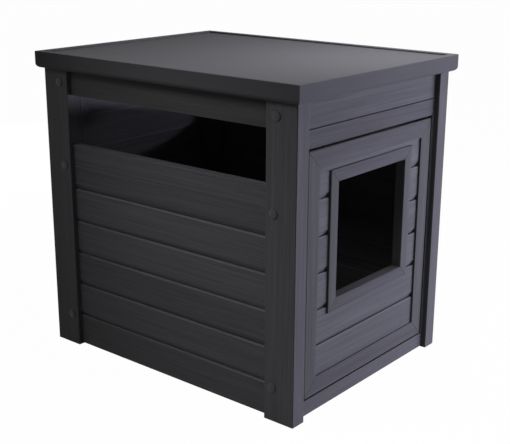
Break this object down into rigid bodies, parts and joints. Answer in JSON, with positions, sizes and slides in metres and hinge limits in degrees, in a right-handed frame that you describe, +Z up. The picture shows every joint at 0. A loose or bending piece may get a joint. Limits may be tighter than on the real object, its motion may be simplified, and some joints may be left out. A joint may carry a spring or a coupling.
{
  "type": "litter box table",
  "caption": "Slatted end-table cabinet that hides a litter box, with a lipped top, open side slots and a pivoting front door with a framed cat window.",
  "frame": {"origin": "on the floor, in the middle of the table's footprint", "axes": "+Z up, the door faces -Y, the long sides with the open slots face -X and +X"},
  "size_m": [0.47, 0.6, 0.559],
  "materials": {
    "boards": "charcoal wood-plastic composite, brushed grain",
    "posts": "charcoal wood-plastic composite, brushed grain",
    "top": "charcoal wood-plastic composite, satin",
    "caps": "moulded, matte",
    "black_plastic": "moulded, matte",
    "steel": "zinc plated",
    "brass": "turned",
    "magnet": "ferrite, ground"
  },
  "bodies": {
    "cabinet": {"apron": "boards", "back_bottom_slat": "boards", "back_slats": "boards", "back_stile_left": "boards", "back_stile_right": "boards", "back_top_slat": "boards", "back_upper_rail": "boards", "bolt_caps": "caps", "bolt_inserts": "brass", "bottom_rail": "boards", "catch_case": "black_plastic", "catch_magnet": "magnet", "catch_screws": "steel", "floor_bearer_left": "boards", "floor_bearer_right": "boards", "floor_panel": "boards", "header": "boards", "jamb_left": "boards", "jamb_right": "boards", "left_bottom_slat": "boards", "left_short_slat": "boards", "left_sill": "boards", "left_slats": "boards", "left_upper_rail": "boards", "pivot_bushes": "black_plastic", "post_back_left": "posts", "post_back_right": "posts", "post_bolts": "steel", "post_front_left": "posts", "post_front_right": "posts", "right_bottom_slat": "boards", "right_short_slat": "boards", "right_sill": "boards", "right_slats": "boards", "right_upper_rail": "boards", "top_cleat_left": "boards", "top_cleat_right": "boards", "top_edge_back": "boards", "top_edge_front": "boards", "top_edge_left": "boards", "top_edge_right": "boards", "top_panel": "top", "top_screws": "steel"},
    "door": {"door_bottom_rail": "boards", "door_lower_slats": "boards", "door_short_slats_left": "boards", "door_short_slats_right": "boards", "door_stile_left": "boards", "door_stile_right": "boards", "door_top_rail": "boards", "door_top_slat": "boards", "window_sill": "boards", "window_trim_head": "boards", "window_trim_left": "boards", "window_trim_right": "boards", "pivot_pins": "steel", "strike_plate": "steel", "strike_screws": "steel"}
  },
  "joints": [
    {"name": "door_pivot", "type": "hinge", "parent": "cabinet", "child": "door", "pos_m": [0.172, -0.272, 0.24], "axis": [0, 0, 1], "range_deg": [0, 110]}
  ]
}
